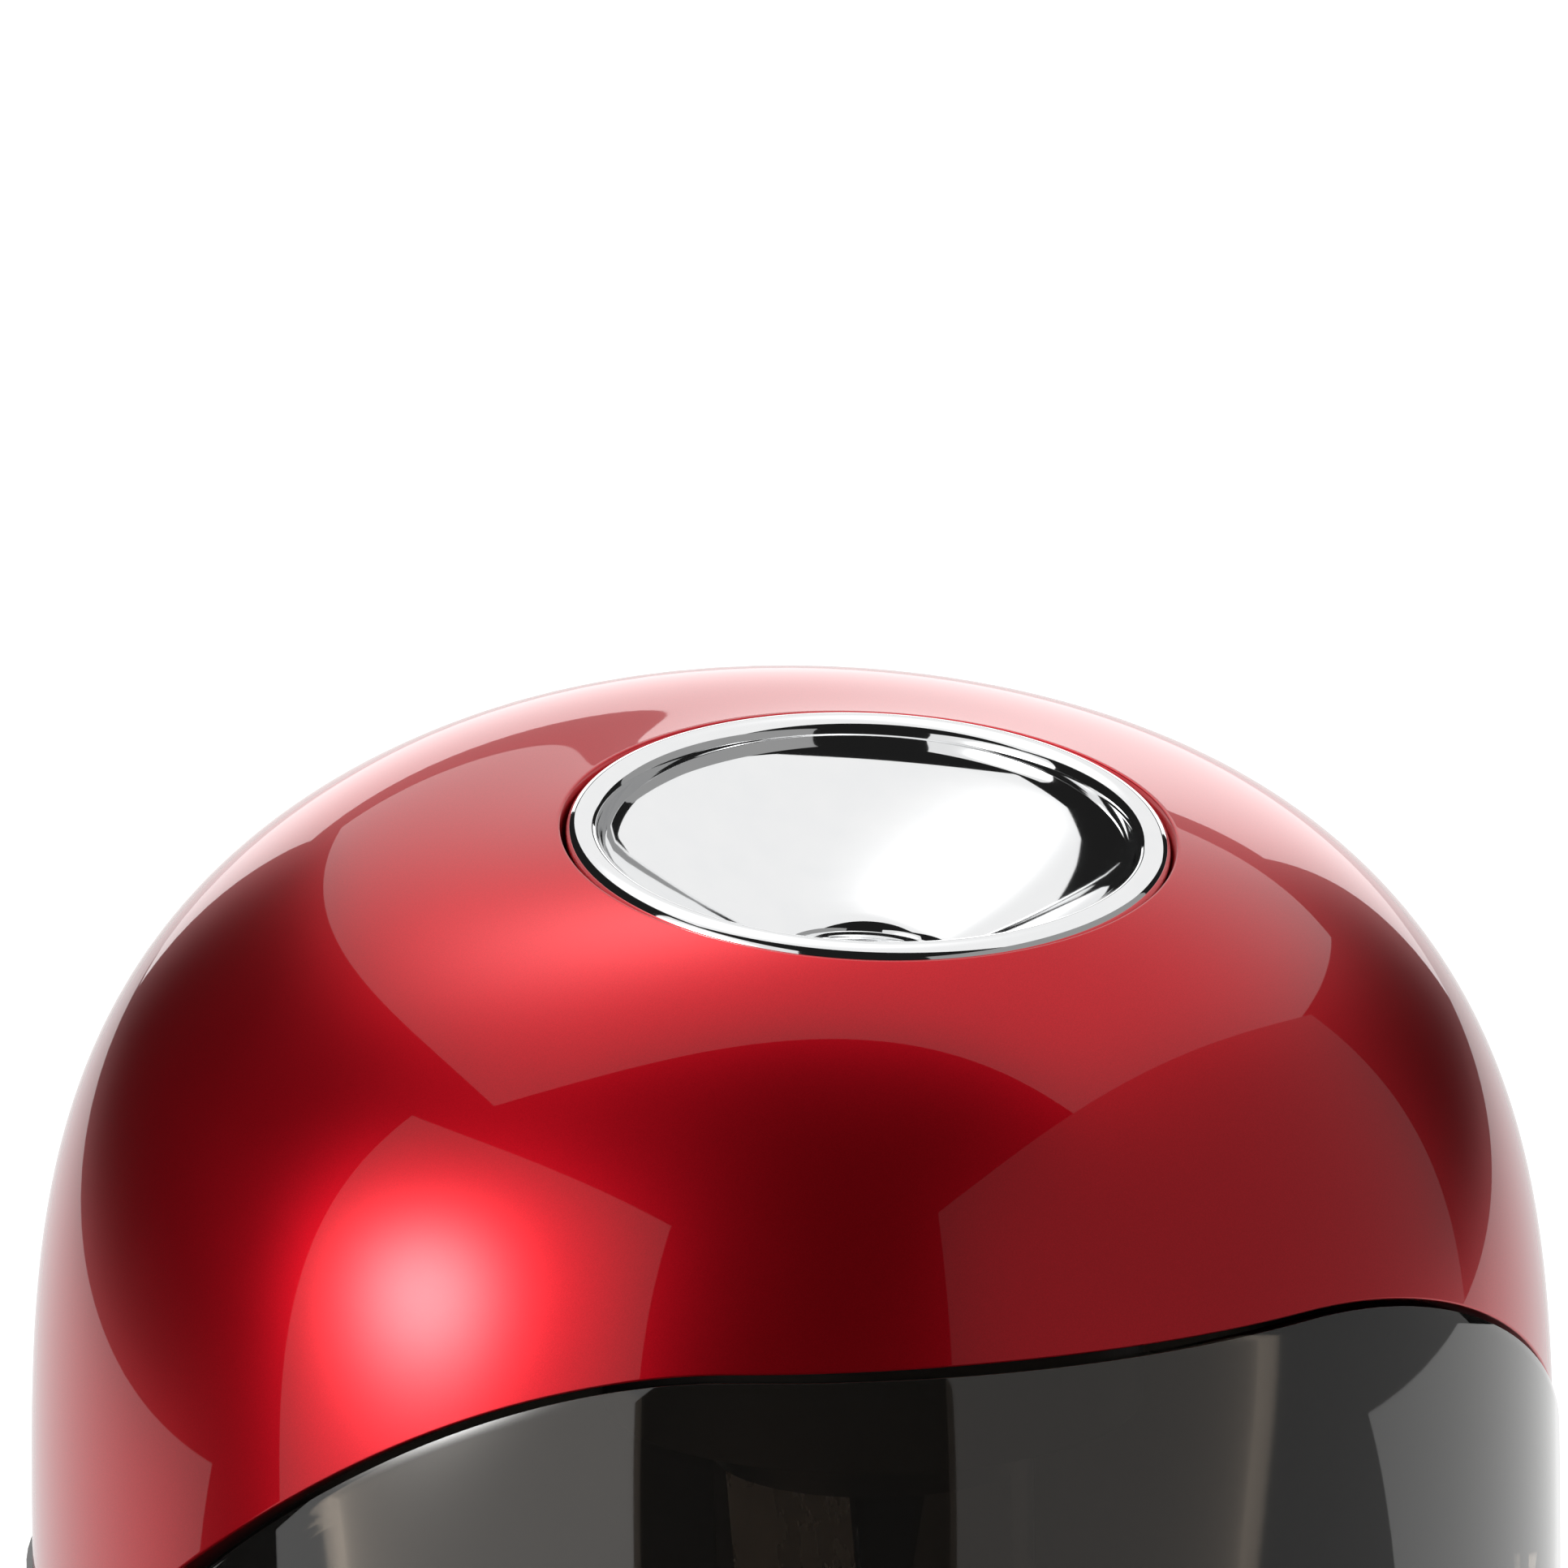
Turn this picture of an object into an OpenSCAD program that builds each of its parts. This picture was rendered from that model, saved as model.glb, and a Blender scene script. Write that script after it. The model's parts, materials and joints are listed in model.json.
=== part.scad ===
// Upright electric pencil sharpener with a domed housing.
// The pencil goes in through a bright funnel in the top and meets a spinning
// cutter that hangs over a drawer for the shavings.
// +Z is up, the drawer opens towards -Y, and the origin is the middle of the
// footprint on the surface that the feet stand on.

/* [Housing] */
// Radius of the dome at its widest
body_r = 43; // [41:0.5:46]
// Height of the widest line above the table
waist_z = 54; // [52:0.5:56]
// Height of the dome above its widest line
dome_h = 50; // [48:0.5:54]
// Squareness of the dome, upwards
dome_up = 3.4; // [2.8:0.1:3.8]
// Squareness of the dome, outwards
dome_out = 2; // [1.8:0.1:2.6]
// Radius of the long curve that narrows the lower half
taper_r = 180; // [160:10:400]
// Wall of the dome and of the lower housing
wall = 2.2; // [1.8:0.1:2.6]
// How far the lower half stands proud of the dome
proud = 0.35; // [0.1:0.05:0.6]
// Gap along the seams
seam = 0.25; // [0.15:0.05:0.4]

/* [Drawer for shavings] */
// Radius of the shoulders of the arched seam
arch_r = 26.3; // [25:0.1:27]
// Distance of each shoulder's centre from the middle
arch_x = 17; // [15:0.5:18]
// Height of the shoulders' centres
arch_z = 50.5; // [49:0.5:52]
// Wall of the drawer
bin_wall = 1.8; // [1.2:0.1:2.4]
// Height of the drawer's underside
bin_z = 9.3; // [9.2:0.1:10]
// Thickness of the drawer's floor
bin_floor = 2.4; // [2:0.1:3]
// Height of the top of the drawer's rear wall
bin_back_z = 34; // [25:1:36]

/* [Pencil and cutter] */
// How far the pencil's axis stands in front of the middle
pencil_y = 13.5; // [13:0.1:14]
// Radius of the straight bore that takes the pencil
pencil_r = 4.3; // [4.1:0.1:4.5]
// Height of the wide end of the sharpening cone
cone_z = 64; // [62:0.5:65]
// Height of the narrow end of the sharpening cone
cone_tip_z = 42.5; // [41:0.5:44]
// Radius of the cutter holder
cutter_r = 9; // [8.5:0.1:9.5]
// Turn of the cutter holder at rest
cutter_turn = -45; // [-90:5:0]

/* [Funnel] */
// Outer radius of the bright rim
rim_r = 17; // [16.5:0.1:17.5]
// Height of the middle of the rim
rim_z = 100.3; // [99:0.1:101]
// Forward tilt of the rim
rim_tilt = 8; // [6:0.5:10]

/* [Gears] */
// Module of the motor stage
fast_m = 0.5; // [0.5:0.1:0.5]
// Module of the cutter stage
slow_m = 0.7; // [0.7:0.1:0.7]
// Play between two meshed teeth
play = 0.16; // [0.12:0.01:0.2]

/* [Hidden] */

// Dome and lower half
outline_steps = 22;
foot_lift = 0.8;
base_deck_z = 9;
deck_t = 2;
lip_h = 2.4;
big = 200;

// Rails on the base that guide the drawer
rail_x = 18;
rail_y = -28;
rail_l = 24;
rail_w = 2.4;
rail_h = 0.8;

// Teeth on each gear, and where the gears stand
pinion_n = 12;
idler_n = 42;
small_n = 14;
drive_n = 35;
cutter_at = [0, -pencil_y];
motor_at = [0, 16];
fast_reach = fast_m * (pinion_n + idler_n) / 2;
slow_reach = slow_m * (small_n + drive_n) / 2;
span = motor_at.y - cutter_at.y;
idler_drop = (fast_reach * fast_reach - slow_reach * slow_reach + span * span) / (2 * span);
idler_at = [sqrt(fast_reach * fast_reach - idler_drop * idler_drop), motor_at.y - idler_drop];
to_cutter = atan2(cutter_at.y - idler_at.y, cutter_at.x - idler_at.x);
to_motor = atan2(motor_at.y - idler_at.y, motor_at.x - idler_at.x);

// Levels of the gearbox, from the bottom up
frame_z = 67;
frame_t = 2.2;
cover_z = 78.2;
cover_t = 2.2;
fast_z = 70;
fast_w = 2.6;
slow_z = 73.1;
slow_w = 4.2;
frame_wall = 1.6;
lug_r = 3;
lugs = [[-12.5, -1], [20, -1], [-15.5, 12], [16.5, 17]];
ears = [[29, -4], [-29, -4], [22, 24], [-22, 24]];
ear_r = 3.4;

// Neck of the cutter holder and its bushes
neck_r = 5.6;
neck_top = 81.6;
holder_top = 66.7;
holder_low = 41;
bush_r = 7;
flange_r = 8.2;
run = 0.05;

// Posts that join the two housings
posts = [[30, 7], [-30, 7], [14.5, 27], [-14.5, 27]];
post_r = 3.4;
post_bore = 2.4;

// Motor
can_r = 13.8;
can_low = 29.5;
can_wall = 0.9;
shaft_r = 1;
fixing_x = 8;

// Funnel bowl, and the tube under it
tube_r = 4.5;
tube_wall = 1.5;
tube_low = 82.6;
bowl_low = 91.2;

// Lever that the pencil pushes aside
lever_y = -3.6;
lever_z = 86.6;
lever_w = 2.4;
post_gap = 2.9;
switch_y = -0.2;
plunge_z = 83.4;

// Switch that the drawer holds closed
latch_x = 20;
latch_z = 26;

// Inlet for the power lead
jack_z = 17;
jack_r = 4;

// Wires: jack to interlock switch, interlock to start switch, start switch to motor, motor to jack
wire_r = 0.6;
wire_ref = [0.31, 0.17, 0.05];
wire_paths = [
    [[4, 26, 14], [4, 25, 14], [8, 23, 13], [17, 17, 13], [22.5, 12, 17], [23, 11, 22], [23, 9.6, 25], [23, 8, 25]],
    [[25, 8, 27], [25, 9.4, 27], [25.5, 12, 32], [25.5, 14, 45], [25.5, 13, 66], [25, 8, 80], [15, 5, 85],
     [8, 3.4, 85], [6.4, 3.4, 85]],
    [[-6.4, 3.4, 85], [-8, 3.4, 85], [-15, 5, 85], [-23.5, 9, 80], [-24.5, 12, 66], [-23, 13, 45], [-20, 14, 28],
     [-13, 15.6, 24.2], [-10, 16, 24.2], [-8.3, 16, 24.2]],
    [[8.3, 16, 24.2], [10, 16, 24.2], [12, 17.5, 20], [10, 23, 16], [6.2, 27.5, 15.5], [4.5, 27.5, 15.5]],
];

// Screws: shank radius, head radius and head height
m2 = [1.2, 2.2, 1.6];
m3 = [1.4, 2.3, 2];

// Radius of the lower half at a height
function lower_r(z, r) = r - pow(waist_z - z, 2) / (2 * taper_r);

// Half outline of the whole body from height low upwards, set in from the dome by inset
function outline(inset, low) = concat(
    [[0, low]],
    [for (i = [0 : outline_steps - 1])
        let (z = low + (waist_z - low) * i / outline_steps)
        [lower_r(z, body_r - inset), z]],
    [for (i = [0 : outline_steps])
        let (t = 90 * i / outline_steps)
        [(body_r - inset) * pow(cos(t), 2 / dome_out),
         waist_z + (dome_h - inset) * pow(sin(t), 2 / dome_up)]]);

// Involute function, and the half width in degrees of a tooth at radius r
function involute(r, base) = r <= base ? 0 : tan(acos(base / r)) * 180 / PI - acos(base / r);
function half_tooth(r, n, m) =
    90 / n - play / 4 / (m * n / 2) * 180 / PI
    + involute(m * n / 2, m * n / 2 * cos(20)) - involute(r, m * n / 2 * cos(20));
function gear_outline(n, m) =
    let (pitch = m * n / 2, root = pitch - 1.2 * m, tip = pitch + 0.92 * m)
    [for (k = [0 : n - 1], s = [-1, 1], r = s < 0 ? [root, pitch, tip] : [tip, pitch, root])
        let (a = 360 * k / n + s * half_tooth(r, n, m))
        [r * cos(a), r * sin(a)]];

// The whole body as one solid, to be hollowed or cut
module body_solid(inset, low) {
    rotate_extrude($fn = 180) polygon(outline(inset, low));
}

// A slab of space between two heights, for keeping part of a solid
module slab(low, high) {
    translate([-big / 2, -big / 2, low]) cube([big, big, high - low]);
}

// The space that the drawer takes, seen from the front, from y0 forwards
module arch_space(inset, y0) {
    r = arch_r - inset;
    translate([0, y0, 0]) rotate([90, 0, 0]) linear_extrude(height = big / 2) union() {
        for (s = [-1, 1]) translate([s * arch_x, arch_z]) circle(r = r, $fn = 120);
        translate([-arch_x, 0]) square([2 * arch_x, arch_z + r]);
        translate([-arch_x - r, 0]) square([2 * (arch_x + r), arch_z]);
    }
}

// Space behind the plane y = y0
module behind(y0) {
    translate([-big / 2, y0, -big / 2]) cube([big, big, big]);
}

module rod(at, r, low, high) {
    translate([at.x, at.y, low]) cylinder(r = r, h = high - low, $fn = 48);
}

// A screw standing head down, with its head's underside at height z
module screw_up(at, z, size, shank) {
    rod(at, size[0], z, z + shank);
    difference() {
        rod(at, size[1], z - size[2], z);
        translate([at.x, at.y, z - size[2] + 0.35]) cube([3, 0.7, 0.8], center = true);
        translate([at.x, at.y, z - size[2] + 0.35]) cube([0.7, 3, 0.8], center = true);
    }
}

module screw_down(at, z, size, shank) {
    translate([0, 0, z]) mirror([0, 0, 1]) screw_up(at, 0, size, shank);
}

// A frame turned to the tilt of the rim, with its origin at the rim's middle
module at_rim() {
    translate([0, -pencil_y, rim_z]) rotate([rim_tilt, 0, 0]) children();
}

module upper_housing() color("firebrick") difference() {
    union() {
        difference() {
            body_solid(0, waist_z - 20);
            body_solid(wall, waist_z - 21);
        }
        intersection() {
            union() {
                for (p = posts) rod(p, post_r - 0.2, waist_z + seam, 100);
                for (p = ears) rod(p, ear_r - 0.4, cover_z + cover_t, 100);
            }
            body_solid(wall / 2, waist_z - 20);
        }
    }
    slab(0, waist_z + seam);
    arch_space(0, 0);
    at_rim() translate([0, 0, -12]) cylinder(r = rim_r + 0.35, h = 30, $fn = 96);
    for (p = posts) rod(p, m3[0] - 0.1, waist_z - 1, waist_z + 14);
    for (p = ears) rod(p, m2[0] - 0.1, cover_z, cover_z + cover_t + 7);
}

module funnel() color("gainsboro") difference() {
    union() {
        at_rim() rotate_extrude($fn = 96) union() {
            translate([rim_r - 1, -1]) circle(r = 1, $fn = 48);
            polygon([[tube_r, -8.4], [tube_r + 5, -6.6], [rim_r - 4, -3.9], [rim_r - 1, -1.3],
                     [rim_r - 0.3, -2.4], [rim_r - 1.2, -4.2], [rim_r - 5, -6.6],
                     [tube_r + 5, -8.6], [tube_r, -10.4]]);
            translate([rim_r - 1.6, -2.6]) square([1.6, 1.8]);
        }
        rod(cutter_at, tube_r + tube_wall, tube_low, bowl_low + 0.6);
    }
    rod(cutter_at, tube_r, tube_low - 1, bowl_low + 12);
    translate([-lever_w / 2 - 0.4, -pencil_y, tube_low - 1]) cube([lever_w + 0.8, 12, 4]);
}

module shavings_bin() color([0.25, 0.25, 0.24, 0.6]) difference() {
    intersection() {
        body_solid(-proud, bin_z);
        arch_space(seam, -seam);
    }
    difference() {
        body_solid(bin_wall - proud, bin_z - 1);
        slab(0, bin_z + bin_floor);
        behind(-seam - bin_wall);
    }
    intersection() {
        body_solid(bin_wall - proud, bin_z - 1);
        slab(bin_back_z, big);
    }
    for (s = [-1, 1]) translate([s * rail_x - rail_w / 2 - 0.6, rail_y - 1, bin_z - 1])
        cube([rail_w + 1.2, big, rail_h + 1.4]);
}

module lower_housing() color("dimgray") {
    difference() {
        union() {
            difference() {
                body_solid(-proud, foot_lift);
                body_solid(wall - proud, foot_lift - 1);
                slab(waist_z, big);
            }
            intersection() {
                body_solid(wall / 2, foot_lift);
                union() {
                    slab(base_deck_z - deck_t, base_deck_z);
                    translate([-big / 2, 0, base_deck_z]) cube([big, 1.8, waist_z - base_deck_z]);
                    for (p = posts) rod(p, post_r, base_deck_z - 1, waist_z);
                }
            }
            intersection() {
                body_solid(wall + 0.5, foot_lift);
                translate([-big / 2, 0, waist_z - 5]) cube([big, 1.8, frame_z - 0.3 - waist_z + 5]);
            }
            intersection() {
                difference() {
                    body_solid(wall + 0.15, waist_z - 8);
                    body_solid(wall + 1.4, waist_z - 9);
                }
                slab(waist_z - 4, waist_z + lip_h);
                behind(0);
            }
            for (a = [45 : 90 : 315]) rotate(a) rod([27, 0], 3, 3.4, base_deck_z - 1);
            for (s = [-1, 1]) translate([s * rail_x - rail_w / 2, rail_y, base_deck_z - 0.5])
                cube([rail_w, rail_l, rail_h + 0.5]);
        }
        difference() {
            translate([-big / 2, -big, base_deck_z]) cube([big, big, big]);
            for (s = [-1, 1]) translate([s * rail_x - rail_w / 2, rail_y, base_deck_z - 1])
                cube([rail_w, rail_l, rail_h + 1]);
        }
        for (p = posts) rod(p, post_bore, foot_lift + 1, waist_z - 8);
        for (p = posts) rod(p, m3[0] + 0.2, waist_z - 9, waist_z + 1);
        for (a = [45 : 90 : 315]) rotate(a) rod([27, 0], m2[0] - 0.1, 0, base_deck_z - 1);
        translate([latch_x, 5, latch_z]) rotate([90, 0, 0]) cylinder(r = 1.3, h = 6, $fn = 32);
        translate([0, 30, jack_z]) rotate([-90, 0, 0]) cylinder(r = jack_r + 0.1, h = 20, $fn = 48);
    }
}

module base_plate() color("#303030") difference() {
    rod([0, 0], lower_r(2, body_r + proud - wall) - 0.3, 1.6, 3.4);
    for (a = [45 : 90 : 315]) rotate(a) {
        rod([27, 0], m2[0] + 0.3, 0, 5);
        rod([27, 0], m2[1] + 0.2, 0, 2.6);
    }
    for (a = [0 : 90 : 270]) rotate(a) rod([26, 0], 5.1, 0, 2);
}

module ballast_plate() color("slategray") difference() {
    rod([0, 0], 22.5, 3.4, base_deck_z - deck_t);
    rod([0, 0], 3, 3, base_deck_z);
}

module feet() color("#202020") for (a = [0 : 90 : 270]) rotate(a) translate([26, 0, 0])
    rotate_extrude($fn = 48) polygon([[0, 0], [4.2, 0], [4.8, 0.6], [4.8, 2], [0, 2]]);

module base_screws() color("silver") for (a = [45 : 90 : 315]) rotate(a)
    screw_up([27, 0], 2.6, [m2[0], m2[1], 0.9], 4);

module housing_screws() color("silver") for (p = posts) screw_up(p, waist_z - 8, m3, 20);

// Plan of the gearbox, set in by inset
module gearbox_plan(inset) {
    translate(cutter_at) circle(r = 15.2 - inset, $fn = 96);
    translate(idler_at) circle(r = 14.8 - inset, $fn = 96);
    translate(motor_at) circle(r = 14.4 - inset, $fn = 96);
    translate([-9 + inset, -pencil_y]) square([20 - 2 * inset, pencil_y + 16]);
}

module gear_frame() color("#262626") difference() {
    union() {
        translate([0, 0, frame_z]) linear_extrude(height = cover_z - frame_z) gearbox_plan(0);
        for (p = lugs) rod(p, lug_r, frame_z, cover_z);
    }
    difference() {
        translate([0, 0, frame_z + frame_t]) linear_extrude(height = 20) gearbox_plan(frame_wall);
        for (p = lugs) rod(p, lug_r, frame_z, cover_z + 30);
    }
    rod(cutter_at, bush_r, 0, 99);
    rod(idler_at, 1.5, 0, 99);
    rod(motor_at, 3.4, 0, 99);
    for (s = [-1, 1]) rod(motor_at + [s * fixing_x, 0], m2[0] + 0.2, 0, 99);
    for (p = lugs) rod(p, m2[0] - 0.1, cover_z - 9, 99);
}

module gear_cover() color("#2a2a2a") difference() {
    union() {
        translate([0, 0, cover_z]) linear_extrude(height = cover_t) union() {
            gearbox_plan(0);
            for (p = lugs) translate(p) circle(r = lug_r, $fn = 48);
            for (p = ears) translate(p) circle(r = ear_r, $fn = 48);
            translate([-29, -6.5]) square([58, 5]);
            translate([-22, 19]) square([44, 4.4]);
        }
        for (s = [0, 1]) mirror([s, 0, 0])
            translate([post_gap, lever_y - 1.8, cover_z + 1]) cube([1.5, 3.6, lever_z + 1.2 - cover_z - 1]);
    }
    rod(cutter_at, bush_r, 0, 99);
    rod(idler_at, 1.5, 0, 79.8);
    for (p = lugs) rod(p, m2[0] + 0.2, 0, 99);
    for (p = ears) rod(p, m2[0] + 0.2, 0, 99);
    translate([-10, lever_y, lever_z]) rotate([0, 90, 0]) cylinder(r = 1, h = 20, $fn = 32);
}

module cover_screws() color("silver") for (p = ears) screw_up(p, cover_z, m2, 8.5);

module frame_screws() color("silver") for (p = lugs) screw_down(p, cover_z + cover_t, m2, 8);

module bush(low, high, flange) color("peru") difference() {
    union() {
        rod(cutter_at, bush_r, low, high);
        rod(cutter_at, flange_r, flange, flange + 0.7);
    }
    rod(cutter_at, neck_r + run, low - 2, high + 2);
}

module lower_bush() bush(frame_z, frame_z + frame_t, frame_z + frame_t);

module upper_bush() bush(cover_z, cover_z + cover_t, cover_z - 0.7);

// The cutter holder's own frame: the blade's flat faces -Y, and leans out with the cone
cone_lean = atan((pencil_r - 0.2 - 0.4) / (cone_z - cone_tip_z));
flat_in = 0.6;

module at_cutter() {
    translate([0, -pencil_y, 0]) rotate(cutter_turn) children();
}

module at_flat() {
    at_cutter() translate([0, -0.4 + flat_in, cone_tip_z]) rotate([cone_lean, 0, 0]) children();
}

module cutter_holder() color("#3a3a3c") difference() {
    union() {
        at_cutter() rotate_extrude($fn = 72) polygon([[0, holder_low], [cutter_r - 2, holder_low],
            [cutter_r, holder_low + 3], [cutter_r, holder_top], [0, holder_top]]);
        rod(cutter_at, neck_r, holder_low + 5, neck_top);
    }
    at_cutter() rotate_extrude($fn = 72) polygon([[0, cone_tip_z - 5], [0.4, cone_tip_z - 5],
        [0.4, cone_tip_z], [pencil_r - 0.2, cone_z], [pencil_r, cone_z], [pencil_r, 90], [0, 90]]);
    intersection() {
        at_flat() translate([-20, -20, -6]) cube([40, 20, 60]);
        slab(0, cone_z - 0.2);
    }
    intersection() {
        at_cutter() translate([0.6, -20, 0]) cube([20, 19, 80]);
        slab(holder_low + 2, cone_z - 0.2);
    }
    at_flat() translate([-4.6, 1, 11]) rotate([90, 0, 0]) translate([0, 0, -5]) cylinder(r = 1.1, h = 9, $fn = 32);
    difference() {
        rod(cutter_at, neck_r + 1, 80.6, 81.3);
        rod(cutter_at, neck_r - 0.6, 80, 82);
    }
}

module cutter_blade() color("lightgray") at_flat() difference() {
    translate([-7.3, -0.7, 0.6]) cube([7.6, 0.7, 20.4]);
    translate([0.3, -0.7, 0]) rotate(-25) translate([-0.02, -3, -1]) cube([3, 6, 30]);
    translate([-4.6, 3, 11]) rotate([90, 0, 0]) cylinder(r = 1.35, h = 9, $fn = 32);
}

module blade_screw() color("silver") at_flat() translate([-4.6, 0, 11]) rotate([-90, 0, 0])
    difference() {
        union() {
            translate([0, 0, -0.7]) cylinder(r = 1.1, h = 4.2, $fn = 32);
            translate([0, 0, -1.9]) cylinder(r = 2.1, h = 1.2, $fn = 32);
        }
        translate([0, 0, -1.7]) cube([3.4, 0.6, 0.8], center = true);
    }

module drive_gear() color("ivory") difference() {
    union() {
        translate([0, -pencil_y, slow_z]) rotate(to_cutter + 180) linear_extrude(height = slow_w)
            polygon(gear_outline(drive_n, slow_m));
        rod(cutter_at, 7.4, slow_z - 0.3, slow_z + slow_w);
    }
    rod(cutter_at, neck_r, 0, 99);
}

module retaining_ring() color("silver") difference() {
    rod(cutter_at, 7.4, 80.6, 81.3);
    rod(cutter_at, neck_r - 0.6, 80, 82);
    translate([-2, -pencil_y - 12, 80]) cube([4, 12, 2]);
}

module idler_gear() color("ivory") difference() {
    translate([idler_at.x, idler_at.y, 0]) union() {
        translate([0, 0, fast_z]) rotate(to_motor) linear_extrude(height = fast_w)
            polygon(gear_outline(idler_n, fast_m));
        translate([0, 0, fast_z + 1]) rotate(to_cutter + 180 / small_n)
            linear_extrude(height = slow_z + slow_w + 0.3 - fast_z - 1)
            polygon(gear_outline(small_n, slow_m));
    }
    rod(idler_at, 1.5 + run, 0, 99);
}

module idler_axle() color("silver") rod(idler_at, 1.5, frame_z, 79.8);

module pinion() color("goldenrod") difference() {
    translate([motor_at.x, motor_at.y, fast_z - 0.2]) rotate(to_motor + 180 + 180 / pinion_n)
        linear_extrude(height = fast_w + 0.8) polygon(gear_outline(pinion_n, fast_m));
    rod(motor_at, shaft_r, 0, 99);
}

module motor_shaft() color("silver") rod(motor_at, shaft_r, can_low - 1.5, fast_z + 3.6);

module motor_armature() color("darkorange") difference() {
    rod(motor_at, 9.2, can_low + 5, frame_z - 6);
    rod(motor_at, shaft_r, 0, 99);
    for (a = [0 : 120 : 240]) translate([motor_at.x, motor_at.y, 0]) rotate(a)
        translate([6, -0.8, 0]) cube([5, 1.6, 99]);
}

module motor_can() color("lightsteelblue") difference() {
    union() {
        rod(motor_at, can_r, can_low, frame_z);
        rod(motor_at, 3.2, frame_z - 1, frame_z + 1.6);
    }
    rod(motor_at, can_r - can_wall, can_low - 1, frame_z - 1.2);
    rod(motor_at, shaft_r + run, 0, 99);
    for (s = [-1, 1]) rod(motor_at + [s * fixing_x, 0], m2[0], frame_z - 3, 99);
}

module motor_magnets() color("#404048") difference() {
    rod(motor_at, can_r - can_wall, can_low + 3, frame_z - 4);
    rod(motor_at, 10, 0, 99);
    translate([motor_at.x - 5, motor_at.y - 20, 0]) cube([10, 40, 99]);
}

module motor_end_cap() color("#222222") difference() {
    union() {
        rod(motor_at, can_r - can_wall, can_low, can_low + 2);
        rod(motor_at, can_r - 0.2, can_low - 1.2, can_low);
        rod(motor_at, 3.2, can_low - 2.4, can_low);
    }
    rod(motor_at, shaft_r + run, can_low - 1.8, 99);
    for (s = [-1, 1]) translate([motor_at.x + s * 8 - 0.3, motor_at.y - 1.5, 0]) cube([0.6, 3, 99]);
}

module motor_terminals() color("gold") for (s = [-1, 1]) difference() {
    translate([motor_at.x + s * 8 - 0.3, motor_at.y - 1.5, can_low - 6]) cube([0.6, 3, 8]);
    translate([motor_at.x + s * 8 - 1, motor_at.y, can_low - 4.4]) rotate([0, 90, 0])
        cylinder(r = 0.7, h = 2, $fn = 24);
}

module motor_screws() color("silver") for (s = [-1, 1])
    screw_down(motor_at + [s * fixing_x, 0], frame_z + frame_t, [m2[0], m2[1], 1.4], 4);

module start_lever() color("whitesmoke") difference() {
    translate([-lever_w / 2, lever_y, lever_z]) rotate([90, 0, 90]) linear_extrude(height = lever_w)
        union() {
            circle(r = 1.7, $fn = 36);
            translate([-1.2, -4.2]) square([2.4, 4.2]);
            translate([-6, -3.6]) square([5, 1.2]);
            translate([-6, -3]) circle(r = 0.6, $fn = 24);
        }
    translate([-5, lever_y, lever_z]) rotate([0, 90, 0]) cylinder(r = 1 + run, h = 10, $fn = 36);
}

module lever_pin() color("silver") translate([-post_gap - 1.5, lever_y, lever_z]) rotate([0, 90, 0])
    cylinder(r = 1, h = 2 * post_gap + 3, $fn = 36);

module lever_spring() color("silver") translate([0, lever_y, lever_z]) rotate([0, 90, 0])
    for (i = [0 : 2]) translate([0, 0, 1.7 + 0.42 * i])
        rotate_extrude($fn = 48) translate([1.25, 0]) circle(r = 0.2, $fn = 16);

module start_switch() color("#1c1c1c") difference() {
    translate([-6.4, switch_y, cover_z + cover_t]) cube([12.8, 6, 6.5]);
    translate([0, switch_y + 2.6, plunge_z]) rotate([90, 0, 0]) cylinder(r = 0.65, h = 5, $fn = 24);
    for (s = [-1, 1]) translate([s * 4.6, switch_y + 3, 0]) rod([0, 0], 0.9, 80, 99);
}

module start_plunger() color("orangered") translate([0, switch_y + 1.4, plunge_z]) rotate([90, 0, 0])
    cylinder(r = 0.6, h = switch_y + 1.4 - (lever_y + 1.3), $fn = 24);

module interlock_switch() color("#1c1c1c") difference() {
    translate([latch_x - 6.25, 1.8, latch_z - 3.25]) cube([12.5, 6.2, 6.5]);
    translate([latch_x, 5.4, latch_z]) rotate([90, 0, 0]) cylinder(r = 1.1, h = 5, $fn = 24);
}

module interlock_plunger() color("orangered") translate([latch_x, 3.2, latch_z]) rotate([90, 0, 0])
    cylinder(r = 1, h = 3.2 + 0.1, $fn = 24);

module dc_jack() color("#1c1c1c") difference() {
    union() {
        translate([-4.5, 26, jack_z - 4.5]) cube([9, 9.5, 9]);
        translate([0, 35, jack_z]) rotate([-90, 0, 0])
            cylinder(r = jack_r, h = lower_r(jack_z, body_r) - 35.1, $fn = 48);
    }
    translate([0, 29, jack_z]) rotate([-90, 0, 0]) cylinder(r = 2.8, h = 20, $fn = 48);
}

module jack_pin() color("silver") translate([0, 28, jack_z]) rotate([-90, 0, 0])
    cylinder(r = 1, h = 9, $fn = 32);

// Unit vector, and the eight points of a wire's ring at point i of its path
function unit(v) = v / norm(v);
function wire_ring(path, i) =
    let (ahead = path[min(i + 1, len(path) - 1)], back = path[max(i - 1, 0)],
         along = unit(ahead - back), side = unit(cross(along, wire_ref)), up = cross(side, along))
    [for (k = [0 : 7]) path[i] + wire_r * (cos(45 * k) * side + sin(45 * k) * up)];

// A wire swept through a list of points as one closed tube
module wire(path) {
    n = len(path);
    polyhedron(
        points = [for (i = [0 : n - 1], p = wire_ring(path, i)) p],
        faces = concat(
            [[for (k = [0 : 7]) k]],
            [for (i = [0 : n - 2], k = [0 : 7], half = [0, 1])
                let (here = 8 * i + k, next = 8 * i + (k + 1) % 8)
                half == 0 ? [next, here, here + 8] : [next, here + 8, next + 8]],
            [[for (k = [7 : -1 : 0]) 8 * (n - 1) + k]]));
}

module wires() color("red") for (path = wire_paths) wire(path);

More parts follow.
